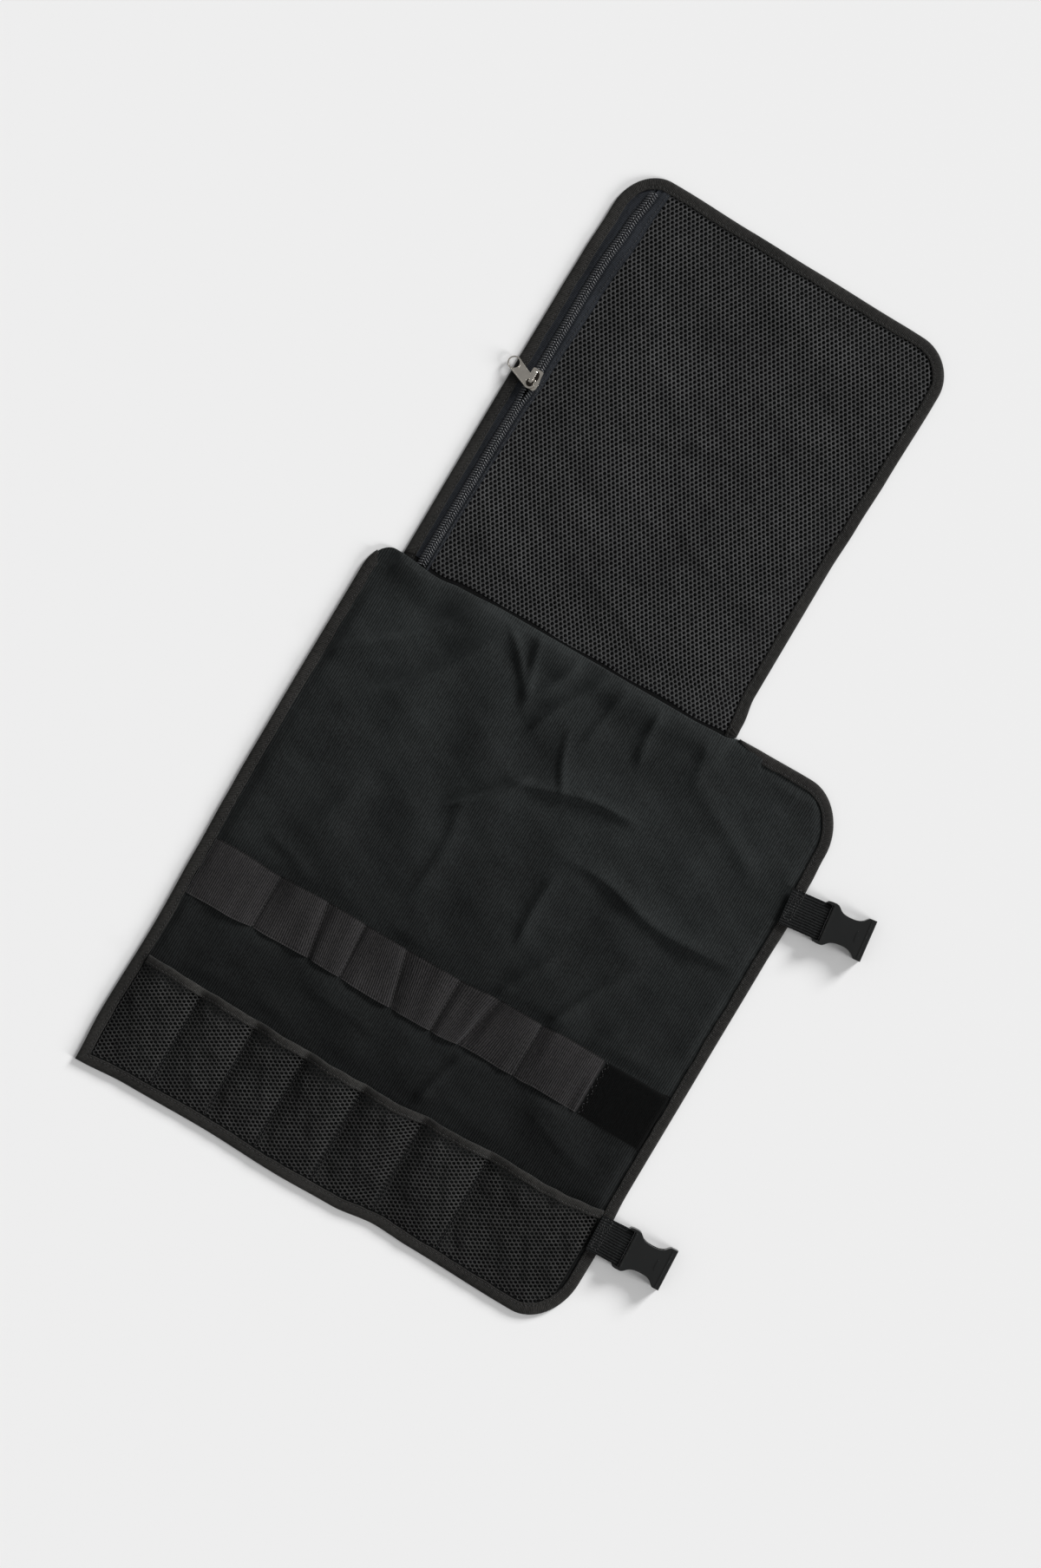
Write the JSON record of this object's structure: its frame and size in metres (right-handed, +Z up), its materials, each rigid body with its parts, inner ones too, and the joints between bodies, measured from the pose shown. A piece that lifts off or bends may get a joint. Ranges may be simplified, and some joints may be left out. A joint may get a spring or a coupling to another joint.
{
  "type": "chef knife roll",
  "caption": "Black cloth chef knife roll laid open, with an elastic knife band, mesh pockets, a zipped mesh flap and two strap buckles.",
  "frame": {"origin": "middle of the bounding box in plan, on the floor that it lies on", "axes": "+Y from the pockets to the flap's free end, +X from the plain side to the buckles, +Z up"},
  "size_m": [0.5262, 0.8834, 0.0133],
  "materials": {
    "cloth": "charcoal ribbed woven cloth",
    "binding_tape": "black cross-ribbed tape",
    "net": "black open net",
    "elastic": "black ribbed elastic",
    "hooks": "matt black hook tape",
    "zip_tape": "dark grey woven tape",
    "coil": "shiny dark nylon",
    "metal": "satin pale plated metal",
    "webbing": "black webbing",
    "plastic": "satin black moulded plastic"
  },
  "bodies": {
    "roll": {"main_panel": "cloth", "main_binding": "binding_tape", "flap_panel": "cloth", "flap_binding": "binding_tape", "flap_mesh": "net", "zip_tape_outer": "zip_tape", "zip_tape_inner": "zip_tape", "zip_coil_outer": "coil", "zip_coil_inner": "coil", "zip_slider": "metal", "knife_band": "elastic", "hook_patch": "hooks", "pocket_mesh": "net", "pocket_binding": "binding_tape", "strap_upper": "webbing", "strap_lower": "webbing", "buckle_upper": "plastic", "buckle_lower": "plastic"},
    "pull": {"zip_pull": "metal"}
  },
  "joints": [
    {"name": "zip_pull", "type": "hinge", "parent": "roll", "child": "pull", "pos_m": [-0.21776, 0.23583, 0.00972], "axis": [0.3923, 0.9198, 0], "range_deg": [0, 32]}
  ]
}
